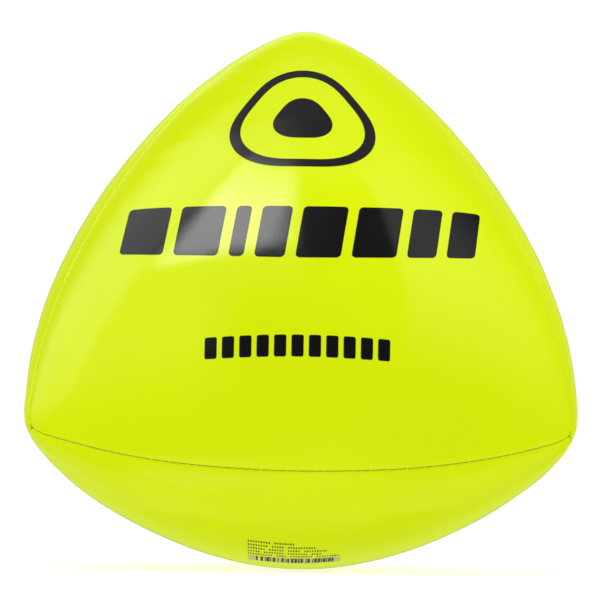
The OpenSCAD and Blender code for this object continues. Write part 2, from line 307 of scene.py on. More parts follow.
def corner_relief(places, rng, height=0.12, peak=9.0, askew=(0.3, 0.9, 0.1)):
    """The pushed-out corners, and soft folds that run out of them and die away. Angles around a
    corner start square to askew."""
    depth = np.zeros(len(places))
    turn_over = PANELS["bottom"]
    for corner, push in zip(BALL_CORNERS, CORNER_PUSH):
        tip, normal = (v[0] @ turn_over.T for v in cast(ORIGIN, corner[None] @ turn_over, 0))
        arm = places - tip
        side = unit(np.cross(normal, askew))
        ahead = np.cross(side, normal)
        distance = np.linalg.norm(arm, axis=1)
        depth -= push * np.exp(-(distance / CORNER_PUSH_REACH) ** 2)
        turn = np.arctan2(arm @ side, arm @ ahead)
        strength = height * distance / peak * np.exp(1 - distance / peak)
        for waves in (6, 10, 15):
            phase, share = rng.uniform(0, 2 * np.pi), rng.uniform(0.3, 1.0)
            depth += strength * share / 2 * np.cos(waves * turn + phase)
    return depth


def unevenness(places, rng, height=0.035, waves=9):
    """Low waves over the whole ball."""
    depth = np.zeros(len(places))
    for _ in range(waves):
        axis = unit(rng.normal(size=3))
        length = rng.uniform(28, 70)
        depth += height * np.cos(2 * np.pi * (places @ axis) / length + rng.uniform(0, 2 * np.pi))
    return depth


def relief(points, turn):
    """Depth of the skin under the plain shape, for points of the panel that turn puts in place."""
    places = points @ turn.T
    rng = np.random.default_rng(RELIEF_SEED)
    dent = DENT_DEPTH * np.exp(-((places - DENT_PLACE) ** 2).sum(1) / DENT_REACH ** 2)
    return seam_relief(points) + corner_relief(places, rng) + unevenness(places, rng) + dent


# ---- Mesh building ----
class Shell:
    """Collects the points and triangles of one mesh. Each point also carries how deep in a seam
    it lies, for the materials."""

    def __init__(self):
        self.points, self.faces, self.groove, self.count = [], [], [], 0

    def add(self, points, groove=0.0):
        start = self.count
        self.points.append(np.asarray(points, float))
        self.groove.append(np.full(len(points), groove))
        self.count += len(points)
        return np.arange(start, self.count)

    def triangles(self, faces):
        self.faces.append(np.asarray(faces, int).reshape(-1, 3))

    def strip(self, upper, lower):
        """Joins two closed rows. One may have a whole number of columns per column of the other."""
        fine, coarse = (upper, lower) if len(upper) >= len(lower) else (lower, upper)
        ratio = len(fine) // len(coarse)
        half = ratio // 2
        faces = []
        for cell, here in enumerate(coarse):
            after = coarse[(cell + 1) % len(coarse)]
            run = [fine[(cell * ratio + k) % len(fine)] for k in range(ratio + 1)]
            faces += [(run[k], run[k + 1], here) for k in range(half)]
            faces.append((run[half], after, here))
            faces += [(run[k], run[k + 1], after) for k in range(half, ratio)]
        faces = np.array(faces)
        self.triangles(faces[:, ::-1] if fine is upper else faces)

    def fan(self, row, turned=False):
        """Closes a row of points."""
        faces = np.array([(row[0], row[k], row[k + 1]) for k in range(1, len(row) - 1)])
        self.triangles(faces[:, ::-1] if turned else faces)

    def zip_rings(self, outer, inner):
        """Joins two closed rings around the panel's axis that have unlike points."""
        places = np.concatenate(self.points)
        rings, steps = [], []
        for which, ring in enumerate((outer, inner)):
            angle = np.arctan2(places[ring, 1], places[ring, 0])
            order = np.argsort(angle)
            rings.append(ring[order])
            first, *rest = angle[order]
            steps += [(a, which) for a in rest + [first + 2 * np.pi]]
        faces, at = [], [0, 0]
        for _, which in sorted(steps):
            a, b = (ring[k % len(ring)] for ring, k in zip(rings, at))
            at[which] += 1
            after = rings[which][at[which] % len(rings[which])]
            faces.append((b, a, after) if which else (a, after, b))
        self.triangles(faces)

    def arrays(self):
        """All used points, the triangles, and the groove values."""
        points, faces = np.concatenate(self.points), np.concatenate(self.faces)
        used, numbers = np.unique(faces, return_inverse=True)
        return points[used], numbers.reshape(faces.shape), np.concatenate(self.groove)[used]


def vertex_normals(points, faces):
    a, b, c = (points[faces[:, k]] for k in range(3))
    areas = np.cross(b - a, c - a)
    normals = np.zeros_like(points)
    for k in range(3):
        np.add.at(normals, faces[:, k], areas)
    return normals / np.maximum(np.linalg.norm(normals, axis=1, keepdims=True), 1e-12)


def link(obj):
    bpy.context.scene.collection.objects.link(obj)
    return obj


def make_object(name, points, faces, turn=np.eye(3), normals=None, groove=None):
    """A smooth-shaded object from points in millimetres. turn is a rotation matrix."""
    mesh = bpy.data.meshes.new(name)
    mesh.from_pydata((points @ turn.T * MM).tolist(), [], faces.tolist())
    mesh.polygons.foreach_set("use_smooth", [True] * len(mesh.polygons))
    if normals is not None:
        mesh.normals_split_custom_set_from_vertices((normals @ turn.T).tolist())
    if groove is not None:
        layer = mesh.attributes.new("groove", "FLOAT", "POINT")
        layer.data.foreach_set("value", np.asarray(groove, np.float32))
    mesh.update()
    return link(bpy.data.objects.new(name, mesh))


# ---- Cloth simulation: the surplus fabric along the seams gathers into low puckers ----
CLOTH_SCALE = 0.01      # simulated metres per millimetre, so that the panel is a big cloth
CLOTH_FRAMES = 24
CLOTH_SURPLUS = -0.012  # the fabric is this share too long for its seams
CLOTH_PRESSURE = 2.5
CLOTH_START = 0.08      # unevenness of the cloth before it is blown up
CLOTH_SEED = 5
PUCKER_SHARE = 0.6      # how much of the puckers the stiff laminate keeps
PUCKER_MAX = 0.3


def cloth_object(name, points, faces, rim, rng):
    """A cloth that is held at its rim and blown up from inside."""
    start = points + rng.normal(size=points.shape) * CLOTH_START
    start[rim] = points[rim]
    obj = make_object(name, start * CLOTH_SCALE / MM, faces)
    obj.vertex_groups.new(name="rim").add(rim.tolist(), 1.0, "REPLACE")
    cloth = obj.modifiers.new("cloth", "CLOTH")
    cloth.point_cache.frame_start, cloth.point_cache.frame_end = 1, CLOTH_FRAMES
    how = cloth.settings
    how.quality, how.mass, how.air_damping = 8, 0.3, 2.0
    how.tension_stiffness = how.compression_stiffness = 25
    how.shear_stiffness, how.bending_stiffness = 12, 0.4
    how.vertex_group_mass, how.pin_stiffness = "rim", 1.0
    how.shrink_min = CLOTH_SURPLUS
    how.use_pressure, how.uniform_pressure_force = True, CLOTH_PRESSURE
    how.effector_weights.gravity = 0
    return obj


def smoothed(values, faces, rim, turns):
    """Values of a lattice averaged with their neighbours again and again. The rim stays at 0."""
    for _ in range(turns):
        total, count = np.zeros_like(values), np.zeros_like(values)
        for a, b in ((0, 1), (1, 2), (2, 0)):
            np.add.at(total, faces[:, a], values[faces[:, b]])
            np.add.at(total, faces[:, b], values[faces[:, a]])
            np.add.at(count, faces[:, a], 1)
            np.add.at(count, faces[:, b], 1)
        values = (values + total / count) / 2
        values[rim] = 0
    return values


def finer(values, n):
    """Values of a lattice of n cells a side on one of 2 n cells a side."""
    grid = np.zeros((n + 1, n + 1))
    i, j, _ = lattice_numbers(n)
    grid[i, j] = values
    i, j, _ = lattice_numbers(2 * n)
    return (grid[(i + 1) // 2, j // 2] + grid[i // 2, (j + 1) // 2]) / 2


def without_bulge(rises, n):
    """Takes away what all panels share in all their symmetric places: the even bulge."""
    places = np.sort(lattice_numbers(n).T, axis=1)
    _, alike = np.unique(places, axis=0, return_inverse=True)
    alike = alike.ravel()
    bulge = np.bincount(alike, sum(rises)) / (len(rises) * np.bincount(alike))
    return [rise - bulge[alike] for rise in rises]


def simulate_puckers():
    """Height of the puckers at each point of every panel's lattice, from a cloth simulation."""
    n = LATTICE // 2
    directions, faces, rim = lattice(n)
    flat, normals = cast(apex(EDGE_ROWS[0]), directions, 0)
    rng = np.random.default_rng(CLOTH_SEED)
    cloths = {name: cloth_object(name + "_cloth", flat, faces, rim, rng) for name in PANELS}
    scene = bpy.context.scene
    for step in range(1, CLOTH_FRAMES + 1):
        scene.frame_set(step)
    rises = []
    for obj in cloths.values():
        blown = obj.evaluated_get(bpy.context.evaluated_depsgraph_get()).data
        places = np.array([tuple(v.co) for v in blown.vertices]) / CLOTH_SCALE
        rises.append(((places - flat) * normals).sum(1))
        bpy.data.objects.remove(obj)
    scene.frame_set(1)
    puckers = {}
    _, fine_faces, fine_rim = lattice(LATTICE)
    for name, rise in zip(PANELS, without_bulge(rises, n)):
        rise = smoothed(rise, faces, rim, 1) * PUCKER_SHARE
        rise = smoothed(finer(rise, n), fine_faces, fine_rim, 3)
        puckers[name] = PUCKER_MAX * np.tanh(rise / PUCKER_MAX)
    return puckers


# ---- Panels ----
def lattice_numbers(n):
    """The three running numbers of each point of a triangular lattice. They add up to n."""
    return np.array([(i, j, n - i - j) for i in range(n + 1) for j in range(n + 1 - i)]).T


def lattice(n):
    """Directions of a triangular lattice over a panel, its faces and its outer loop."""
    weight = np.sin(even_shares(n) * SPAN)
    i, j, k = lattice_numbers(n)
    bulge = 27 * MIDDLE_CROWDING * i * j * k / n ** 3
    directions = unit(weight[i][:, None] * CORNERS[0] + weight[j][:, None] * CORNERS[1]
                      + weight[k][:, None] * CORNERS[2] + bulge[:, None] * OUTWARD)

    def cell(i, j):
        return i * (2 * n + 3 - i) // 2 + j

    faces = [(cell(i, j), cell(i + 1, j), cell(i, j + 1)) for i in range(n) for j in range(n - i)]
    faces += [(cell(i + 1, j), cell(i + 1, j + 1), cell(i, j + 1))
              for i in range(n) for j in range(n - 1 - i)]
    loop = [cell(t, 0) for t in range(n)] + [cell(n - t, t) for t in range(n)]
    loop += [cell(0, n - t) for t in range(n)]
    return directions, np.array(faces), np.array(loop)


def edge_loop(n):
    """Directions once around a panel's edge, n to a side, and the distance to the next corner."""
    shares = even_shares(n)[:-1]
    directions = np.concatenate([edge_direction(side, shares) for side in range(3)])
    run = np.linspace(0, SEAM_L, n + 1)[:-1]
    return directions, np.tile(np.minimum(run, SEAM_L - run), 3)


def circle(radius, depth, count=HOLE_POINTS):
    """A ring around the panel's axis, a depth under the skin, and the normals there."""
    angle = np.arange(count) * 2 * np.pi / count
    base = np.stack([radius * np.cos(angle), radius * np.sin(angle), 0 * angle], axis=1)
    return cast(base, np.tile(OUTWARD, (count, 1)), depth)


def plain(flat, normals):
    """The shape of a sheet without relief."""
    return flat


def sheet(shell, n, inset, depth, hole, inner=False, shape=plain, rise=0.0):
    """A domed sheet of a panel. shape moves its points, and then they rise. Returns its outer
    loop and, where it has a hole for the valve, the ring of points around that."""
    directions, faces, loop = lattice(n)
    flat, normals = cast(apex(inset), directions, depth)
    points = shape(flat, normals) + normals * np.reshape(rise, (-1, 1))
    numbers = shell.add(points)
    ring = None
    if hole:
        middles = points[faces].mean(1)
        far = np.hypot(middles[:, 0], middles[:, 1]) > HOLE_CLEAR
        cut, faces = faces[~far], faces[far]
        rim = np.intersect1d(cut, faces)
        ring = shell.add(shape(*circle(HOLE_COLLAR, depth)))
        held = len(shell.faces)
        shell.zip_rings(numbers[rim], ring)
        if inner:
            shell.faces[held] = shell.faces[held][:, ::-1]
    faces = numbers[faces]
    shell.triangles(faces[:, ::-1] if inner else faces)
    return numbers[loop], ring


def corner_rounding(from_corner):
    """Extra distance from the seam that rounds off a panel's corners."""
    cut = ROUND_R * math.tan(math.radians(30))
    return np.maximum(cut - from_corner, 0) ** 2 / (2 * ROUND_R)


def fold_profile(end, radius, steps=FOLD_STEPS):
    """Distance and depth around a quarter turn that begins flat and goes straight down at end."""
    for step in range(steps + 1):
        angle = math.pi / 2 * (1 - step / steps)
        yield end + radius * (1 - math.cos(angle)), radius * (1 - math.sin(angle))


def add_hem(shell, n, last, side, groove=0.0):
    """Goes on from the last row to the end of the hem, at this distance from the seam plane."""
    row = shell.add(cast(apex(side), edge_loop(n)[0], HEM)[0], groove)
    shell.strip(last, row)
    return row


def add_hole_row(shell, ring, depth):
    """Goes on from a ring to the wall of the valve's hole."""
    row = shell.add(circle(VALVE_HOLE_R, depth)[0])
    shell.strip(row, ring)
    return row


def close_inside(shell, n, last, ring, side, depth, groove=0.0):
    """Closes a panel's shell: up inside its hem, over its inner sheet and down its hole."""
    hem = add_hem(shell, n, last, side, groove)
    inner, inner_ring = sheet(shell, n, side, depth, ring is not None, inner=True)
    shell.strip(hem, inner)
    if ring is not None:
        shell.strip(inner_ring, add_hole_row(shell, ring, depth))


def cover_mesh(turn, puckers, hole):
    """One panel's skin as a closed shell: a domed outer sheet that folds in along the seams.
    Also returns its outer sheet alone, for the prints to lie on."""
    shell = Shell()
    inner_edge = EDGE_ROWS[0]

    def sewn(flat, normals):
        return flat - normals * relief(flat, turn)[:, None]

    last, ring = sheet(shell, LATTICE, inner_edge, 0, hole, shape=sewn, rise=puckers)
    fine, from_corner = edge_loop(LATTICE * COARSEN)
    rounding = corner_rounding(from_corner)
    rows = [(inset, 0.0) for inset in EDGE_ROWS[1:]]
    rows += [*fold_profile(SLIT / 2, FOLD), (SLIT / 2, FOLD_DROP), (SLIT / 2, HEM)]
    for inset, depth in rows:
        extra = rounding * (1 - inset / inner_edge)
        places = sewn(*cast(apex(inset + extra), fine, depth))
        row = shell.add(places, min(depth / FOLD, 1.0))
        shell.strip(last, row)
        last = row
    if hole:
        for radius, depth in [(HOLE_RING, 0), *fold_profile(VALVE_HOLE_R, HOLE_ROUND, 4)]:
            row = shell.add(sewn(*circle(radius, depth)))
            shell.strip(row, ring)
            ring = row
    outer = shell.arrays()[:2]
    close_inside(shell, LATTICE, last, ring, SLIT / 2 + SKIN_T, SKIN_T, groove=1.0)
    return shell.arrays(), outer


def layer_mesh(depth, thickness, hole, n=STITCHES):
    """A foam or lining layer: a domed sheet under the skin whose edge turns in along the seams."""
    shell = Shell()
    side = SLIT / 2 + depth
    outer, ring = sheet(shell, n, side, depth, hole)
    hem = add_hem(shell, n, outer, side)
    if hole:
        ring = add_hole_row(shell, ring, depth)
    close_inside(shell, n, hem, ring, side + thickness, depth + thickness)
    return shell.arrays()


# ---- Prints ----
class Skin:
    """The outer sheet of a panel, for a printed film to follow."""

    def __init__(self, points, faces, turn):
        self.points, self.faces, self.turn = points, faces, turn
        self.normals = vertex_normals(points, faces)
        self.tree = BVHTree.FromPolygons(points.tolist(), faces.tolist(), all_triangles=True)

    def under(self, flat):
        """The skin's place and smooth normal straight under flat points of the panel."""
        places, normals = [], []
        for x, y in flat:
            hit, _, index, _ = self.tree.ray_cast((x, y, 2 * REACH), (0, 0, -1))
            hit = np.array(hit)
            face = self.faces[index]
            a, b, c = self.points[face]
            areas = [np.linalg.norm(np.cross(p - hit, q - hit))
                     for p, q in ((b, c), (c, a), (a, b))]
            places.append(hit)
            normals.append(np.array(areas) @ self.normals[face])
        return np.array(places), unit(np.array(normals))


class Film:
    """Thin printed shapes that lie on a skin, collected into one mesh."""

    def __init__(self, skin, base=FILM_LIFT):
        self.skin, self.base, self.shell, self.normals = skin, base, Shell(), []

    def add(self, loops, filled=True):
        """A shape given by flat loops, the outermost first, each with the same number of points.
        A filled one is closed over its innermost loop."""
        count, size = len(loops[0]), len(loops)
        places, normals = self.skin.under(np.concatenate(loops))
        rows = []
        for height in (self.base + FILM_T, self.base):
            numbers = self.shell.add(places + normals * height)
            self.normals.append(normals)
            rows.append([numbers[k * count:(k + 1) * count] for k in range(size)])
        top, low = rows
        for k in range(size - 1):
            self.shell.strip(top[k + 1], top[k])
            self.shell.strip(low[k], low[k + 1])
        self.shell.strip(top[0], low[0])
        if filled:
            self.shell.fan(top[-1])
            self.shell.fan(low[-1], turned=True)
        else:
            self.shell.strip(low[-1], top[-1])

    def make(self, name):
        points, faces, _ = self.shell.arrays()
        return make_object(name, points, faces, self.skin.turn, np.concatenate(self.normals))


def round_box(width, height, radius, spacing=1.2):
    """Points once around a rectangle with round corners, counter-clockwise from its right side."""
    points = []
    for turn, x, y in ((0, 1, 1), (90, -1, 1), (180, -1, -1), (270, 1, -1)):
        for step in range(CORNER_STEPS + 1):
            a = math.radians(turn + 90 * step / CORNER_STEPS)
            points.append((x * (width / 2 - radius) + radius * math.cos(a),
                           y * (height / 2 - radius) + radius * math.sin(a)))
    out = []
    for here, after in zip(points, points[1:] + points[:1]):
        gap = math.dist(here, after)
        parts = max(1, round(gap / spacing))
        out += [(here[0] + (after[0] - here[0]) * k / parts,
                 here[1] + (after[1] - here[1]) * k / parts) for k in range(parts)]
    return np.array(out)


def shrinking(outline, spacing=2.5):
    """The outline and smaller copies of it down to its middle."""
    steps = max(2, math.ceil(np.abs(outline).max(0).min() / spacing))
    return [outline * (1 - k / steps) for k in range(steps)] + [outline * 0.5 / steps]


def add_block(film, x, y, width, height, radius, lean=0.0, bow=0.0, half_row=1.0):
    """A block of ink with round corners that leans to the right. bow lifts the ends of its row."""
    loops = []
    for loop in shrinking(round_box(width, height, min(radius, width / 2, height / 2))):
        across = x + loop[:, 0] + lean * loop[:, 1]
        lifted = y + loop[:, 1] + bow * ((across - PRINT_SHIFT) / half_row) ** 2
        loops.append(np.stack([across, lifted], axis=1))
    film.add(loops)


def soft_triangle(radius, count):
    """The ball's own outline: a rounded triangle that points up."""
    a = np.arange(count) * 2 * np.pi / count
    r = radius * (1 + EMBLEM_POINT * np.cos(3 * (a - np.pi / 2)))
    return np.stack([r * np.cos(a) + PRINT_SHIFT, r * np.sin(a) + EMBLEM_Y], axis=1)


def emblem(skin):
    """A plain mark: the ball's own outline with a small one inside."""
    film = Film(skin)
    film.add([soft_triangle(EMBLEM_R - part * EMBLEM_LINE, EMBLEM_POINTS) for part in (0, 0.5, 1)],
             filled=False)
    film.add([soft_triangle(EMBLEM_HEART_R * part, EMBLEM_POINTS // 2)
              for part in (1, 0.8, 0.6, 0.4, 0.2, 0.03)])
    return film.make("emblem_film")


def band(skin):
    """A bowed row of bold blocks of four widths."""
    film = Film(skin)
    unit_l = (BAND_L - BLOCK_GAP * (len(BLOCKS) - 1)) / sum(BLOCKS)
    x = PRINT_SHIFT - BAND_L / 2
    for share in BLOCKS:
        width = share * unit_l
        add_block(film, x + width / 2, BAND_Y, width, BAND_H, BLOCK_ROUND, BLOCK_LEAN, BAND_BOW,
                  BAND_L / 2)
        x += width + BLOCK_GAP
    return film.make("band_film")


def dash_line(skin):
    """A straight row of plain dashes."""
    film = Film(skin)
    pitch = LINE_L / DASHES
    for k in range(DASHES):
        x = PRINT_SHIFT - LINE_L / 2 + (k + DASH_SHARE / 2) * pitch
        add_block(film, x, LINE_Y, DASH_SHARE * pitch, LINE_H, DASH_ROUND)
    return film.make("line_film")


def info(skin):
    """Rows of plain strokes over a row of bars. They stand for no letters and no number. The rows
    start at +X, which is the left side for someone who reads them."""
    rng = np.random.default_rng(INFO_SEED)
    film = Film(skin)
    start = INFO_SHIFT + INFO_L / 2
    for row, length in enumerate(INFO_ROWS):
        y = INFO_Y + INFO_PITCH * (row + 0.5)
        x, left_in_word = start, rng.integers(*WORD)
        while x > start - length:
            add_block(film, x, y, STROKE_W, STROKE_H * rng.uniform(0.7, 1.0), STROKE_ROUND)
            x -= 2 * STROKE_W
            left_in_word -= 1
            if not left_in_word:
                x, left_in_word = x - WORD_GAP, rng.integers(*WORD)
    x = start - CODE_MARGINS[0]
    while x > start - INFO_L + CODE_MARGINS[1]:
        width = rng.choice(CODE_BARS)
        add_block(film, x - width / 2, CODE_Y, width, CODE_H, STROKE_ROUND)
        x -= width + rng.choice(CODE_BARS)
    return film.make("info_film")


def info_ground(skin):
    """The pale field under the bars."""
    film = Film(skin, base=GROUND_LIFT)
    add_block(film, INFO_SHIFT, CODE_Y, INFO_L, CODE_H + 2 * GROUND_MARGIN, GROUND_ROUND)
    return film.make("info_ground_film")


# ---- Seam threads ----
# A seam's own frame has X along the seam, Y outwards and Z across it into the next panel.
SEAM_LEAN = rotation("X", 180 - math.degrees(math.acos(PLANE_LEAN)))
SEAMS = {
    "front_bottom": FRONT @ SEAM_LEAN,
    "front_left": FRONT @ rotation("Z", -120) @ SEAM_LEAN,
    "front_right": FRONT @ rotation("Z", 120) @ SEAM_LEAN,
    "back": PANELS["right"] @ rotation("Z", 120) @ SEAM_LEAN,
    "bottom_left": PANELS["left"] @ SEAM_LEAN,
    "bottom_right": PANELS["right"] @ SEAM_LEAN,
}


def seam_line(run, seam):
    """Places on the drawn-in seam at lengths along it, the directions along it and outwards, in
    the seam's own frame."""
    to_panel = SEAM_LEAN
    angle = (np.interp(run, RULER[1], RULER[0]) - 0.5) * SPAN
    direction = np.stack([np.sin(angle), np.cos(angle), 0 * angle], axis=1) @ to_panel.T
    flat, normals = cast(ORIGIN, direction, 0)
    places = flat - normals * relief(flat, seam @ to_panel.T)[:, None] * SINK_SHARE
    places, out = places @ to_panel, normals @ to_panel
    return places, unit(np.cross(out, OUTWARD)), out


def add_tube(shell, path, radius, sides=8, twist=2.2, ply=0.16, askew=(0.31, 0.52, 0.79)):
    """A twisted two-ply thread along a path, closed at both ends. The path never goes askew."""
    path = np.asarray(path)
    tangent = unit(np.gradient(path, axis=0))
    side = unit(np.cross(tangent, askew))
    up = np.cross(side, tangent)
    run = np.concatenate([[0], np.cumsum(np.linalg.norm(np.diff(path, axis=0), axis=1))])
    rows = []
    for k, middle in enumerate(path):
        a = np.arange(sides) * 2 * np.pi / sides
        r = radius * (1 - ply + ply * np.cos(2 * a - twist * run[k] / radius))
        ring = middle + r[:, None] * (np.cos(a)[:, None] * side[k] + np.sin(a)[:, None] * up[k])
        rows.append(shell.add(ring))
    for a, b in zip(rows, rows[1:]):
        shell.strip(a, b)
    shell.fan(rows[0])
    shell.fan(rows[-1], turned=True)


def thread_mesh(seam):
    """Lockstitch: a crossing thread in every needle hole, seen at the bottom of the groove, and a
    running thread on each side of the turned-in edges."""
    shell = Shell()
    holes = np.arange(FIRST_STITCH, STITCHES - FIRST_STITCH + 1) * PITCH
    places, along, out = seam_line(holes, seam)
    across = OUTWARD
    half_path = [(0.0, CROSS_DEPTH), (0.22, CROSS_DEPTH + 0.03), (0.42, CROSS_DEPTH + 0.22),
                 (0.62, CROSS_DEPTH + 0.5), (RAIL_SIDE / 2, (CROSS_DEPTH + RAIL_DEPTH) / 2 + 0.3),
                 (RAIL_SIDE, RAIL_DEPTH)]
    profile = [(-z, d) for z, d in half_path[:0:-1]] + half_path
    for place, ahead, up in zip(places, along, out):
        path = [place + across * z - up * d + ahead * CROSS_SLANT * np.clip(z, -1, 1)
                for z, d in profile]
        add_tube(shell, path, THREAD_R)
    run = np.arange(holes[0] - RAIL_OVERHANG, holes[-1] + RAIL_OVERHANG, PITCH / 4)
    places, along, out = seam_line(run, seam)
    wave = RAIL_WAVE * np.cos(2 * np.pi * run / PITCH)
    for side in (-1, 1):
        path = places - out * (RAIL_DEPTH - wave)[:, None] + across * side * RAIL_SIDE
        add_tube(shell, path, THREAD_R)
    return shell.arrays()


# ---- Materials ----
class Graph:
    """A material's or world's node tree with short calls for making and joining nodes."""

    def __init__(self, owner):
        owner.use_nodes = True
        self.owner, self.tree = owner, owner.node_tree
        self.tree.nodes.clear()

    def node(self, kind, inputs=None, **settings):
        made = self.tree.nodes.new(kind)
        for name, value in settings.items():
            setattr(made, name, value)
        for name, value in (inputs or {}).items():
            self.feed(made.inputs[name], value)
        return made

    def feed(self, socket, value):
        if isinstance(value, bpy.types.NodeSocket):
            self.tree.links.new(value, socket)
        else:
            socket.default_value = value

    def math(self, operation, a, b=0.0, c=0.0):
        return self.node("ShaderNodeMath", {0: a, 1: b, 2: c}, operation=operation).outputs[0]

    def times(self, a, b):
        return self.math("MULTIPLY", a, b)

    def noise(self, where, scale, detail=2.0, roughness=0.5):
        made = self.node("ShaderNodeTexNoise", {"Vector": where, "Scale": scale, "Detail": detail,
                                                "Roughness": roughness})
        return made.outputs["Fac"]

    def remap(self, value, low, high, to_low=0.0, to_high=1.0):
        made = self.node("ShaderNodeMapRange",
                         {"Value": value, "From Min": low, "From Max": high,
                          "To Min": to_low, "To Max": to_high}, interpolation_type="SMOOTHSTEP")
        return made.outputs[0]

    def mix(self, share, a, b):
        made = self.node("ShaderNodeMix", {"Factor": share}, data_type="RGBA")
        self.feed(made.inputs[6], a)
        self.feed(made.inputs[7], b)
        return made.outputs[2]

    def bump(self, height, strength, distance, normal=None):
        inputs = {"Height": height, "Strength": strength, "Distance": distance}
        if normal is not None:
            inputs["Normal"] = normal
        return self.node("ShaderNodeBump", inputs).outputs[0]

    def place(self, scale=(1, 1, 1), turn=(0, 0, 0)):
        where = self.node("ShaderNodeTexCoord").outputs["Object"]
        made = self.node("ShaderNodeMapping", {"Vector": where, "Scale": scale, "Rotation": turn})
        return made.outputs[0]

    def surface(self, **inputs):
        """Gives the material a plastic, cloth or ink surface, and returns the material."""
        named = {k.replace("_", " ").title().replace("Ior", "IOR"): v for k, v in inputs.items()}
        shader = self.node("ShaderNodeBsdfPrincipled", named)
        self.node("ShaderNodeOutputMaterial", {"Surface": shader.outputs[0]})
        return self.owner


def material_graph(name):
    return Graph(bpy.data.materials.new(name))


COAT_IOR = 1.5
PAINTED_SLANT_GLOW = 0.25   # a painted glow on the skin, brighter where it is seen at a slant
PAINTED_RIM_GLOW = 1.6        # a painted glow at the rims too, where the clear film would swallow the colour
RIM_SHARPNESS = 10


def gloss_film(g, where):
    """Roughness of the clear top film: even, with faint smears and a few hair scratches."""
    smear = g.remap(g.noise(where, 22, 4, 0.6), 0.45, 0.8, 0.07, 0.12)
    stretched = g.place((40, 900, 900), (0.4, 0.3, 0.9))
    scratch = g.remap(g.noise(stretched, 1, 3, 0.7), 0.69, 0.75, 0.0, 0.12)
    return g.math("ADD", smear, scratch)


def gloss_bump(g, where):
    """The slight orange peel of a coated film over foam."""
    broad = g.bump(g.noise(where, 160, 2), 0.05, 0.0006)
    return g.bump(g.noise(where, 620, 2), 0.02, 0.0003, broad)


def filmed_surface(g, where, colour, roughness, **others):
    """A colour under the clear gloss film."""
    peel = gloss_bump(g, where)
    inputs = dict(base_color=colour, roughness=roughness, specular_ior_level=0.1,
                  coat_weight=1.0, coat_ior=COAT_IOR, coat_roughness=gloss_film(g, where),
                  normal=peel, coat_normal=peel)
    return g.surface(**(inputs | others))


def skin_material():
    """Coated fabric in fluorescent yellow, with a painted glow where it is seen at a slant and at
    the rims. Down in the seams its colour is darkened as painted shade, and it is not glossy.
    """
    g = material_graph("cover_skin")
    where = g.place()
    tone = g.noise(where, 14, 3)
    yellow = g.mix(g.remap(tone, 0.3, 0.7), (0.70, 0.86, 0.0010, 1), (0.74, 0.89, 0.0020, 1))
    groove = g.node("ShaderNodeAttribute", attribute_name="groove").outputs["Fac"]
    # painted shade: the colour darkens towards olive down into the seam groove
    colour = g.mix(g.remap(groove, 0.25, 1.0, 0.0, 0.6), yellow, (0.50, 0.56, 0.005, 1))
    base_roughness = g.remap(g.noise(where, 60, 3), 0.3, 0.7, 0.38, 0.5)
    film_left = g.remap(groove, 0.03, 0.25, 1.0, 0.25)
    # painted glow: emission that lightens the skin where it is seen at a slant and at the rims,
    # turned off down in the seams
    facing = g.node("ShaderNodeLayerWeight", {"Blend": 0.5}).outputs["Facing"]
    broad_glow = g.times(g.remap(facing, 0.55, 1.0), PAINTED_SLANT_GLOW)
    rim_glow = g.times(g.math("POWER", facing, RIM_SHARPNESS), PAINTED_RIM_GLOW)
    glow = g.times(g.math("ADD", broad_glow, rim_glow), g.remap(groove, 0.1, 0.6, 1.0, 0.0))
    return filmed_surface(g, where, colour, base_roughness, specular_ior_level=0.0,
                          coat_weight=film_left, emission_color=colour, emission_strength=glow)


def ink_material(name, colour, worn, grain=420, wear=(0.62, 0.8), roughness=0.45):
    """Ink under the clear film. It is thin where a noise of that grain passes the wear's range."""
    g = material_graph(name)
    where = g.place()
    thin = g.remap(g.noise(where, grain, 3, 0.7), *wear)
    return filmed_surface(g, where, g.mix(thin, colour, worn), roughness)


def thread_material():
    """Polyester sewing thread: pale yellow, of fine fibres."""
    g = material_graph("seam_thread")
    where = g.place()
    fibre = g.node("ShaderNodeTexWave", {"Vector": g.place(turn=(0.6, 0.8, 0.3)),
                                         "Scale": 900.0, "Distortion": 1.5}).outputs["Fac"]
    tone = g.mix(g.remap(g.noise(where, 160, 2), 0.3, 0.7), (0.62, 0.69, 0.08, 1),
                 (0.88, 0.90, 0.42, 1))
    colour = g.mix(g.remap(fibre, 0.0, 0.4), (0.42, 0.48, 0.05, 1), tone)
    return g.surface(base_color=colour, roughness=0.6, sheen_weight=0.3,
                     normal=g.bump(fibre, 0.3, 0.00005))


def foam_material():
    """Closed-cell foam: off-white, matt, pitted all over."""
    g = material_graph("backing_foam")
    where = g.place()
    cells = g.node("ShaderNodeTexVoronoi", {"Vector": where, "Scale": 1600.0}).outputs["Distance"]
    tone = g.noise(where, 60, 3)
    colour = g.mix(tone, (0.80, 0.79, 0.72, 1), (0.88, 0.88, 0.83, 1))
    return g.surface(base_color=colour, roughness=g.remap(cells, 0.0, 0.6, 0.95, 0.75),
                     specular_ior_level=0.2, normal=g.bump(cells, 0.4, 0.0001))


def cloth_material():
    """Plain-woven lining: warp and weft threads that cross at right angles."""
    g = material_graph("lining_cloth")
    threads = [g.node("ShaderNodeTexWave", {"Vector": g.place(turn=turn), "Scale": 260.0,
                                            "Distortion": 0.4}).outputs["Fac"]
               for turn in ((0, 0, 0), (0, 0, math.pi / 2))]
    weave = g.math("MAXIMUM", *threads)
    tone = g.mix(g.noise(g.place(), 40, 3), (0.58, 0.60, 0.55, 1), (0.68, 0.69, 0.64, 1))
    colour = g.mix(g.remap(weave, 0.1, 0.8), (0.40, 0.41, 0.37, 1), tone)
    return g.surface(base_color=colour, roughness=0.9, sheen_weight=0.25,
                     normal=g.bump(weave, 0.5, 0.00015))


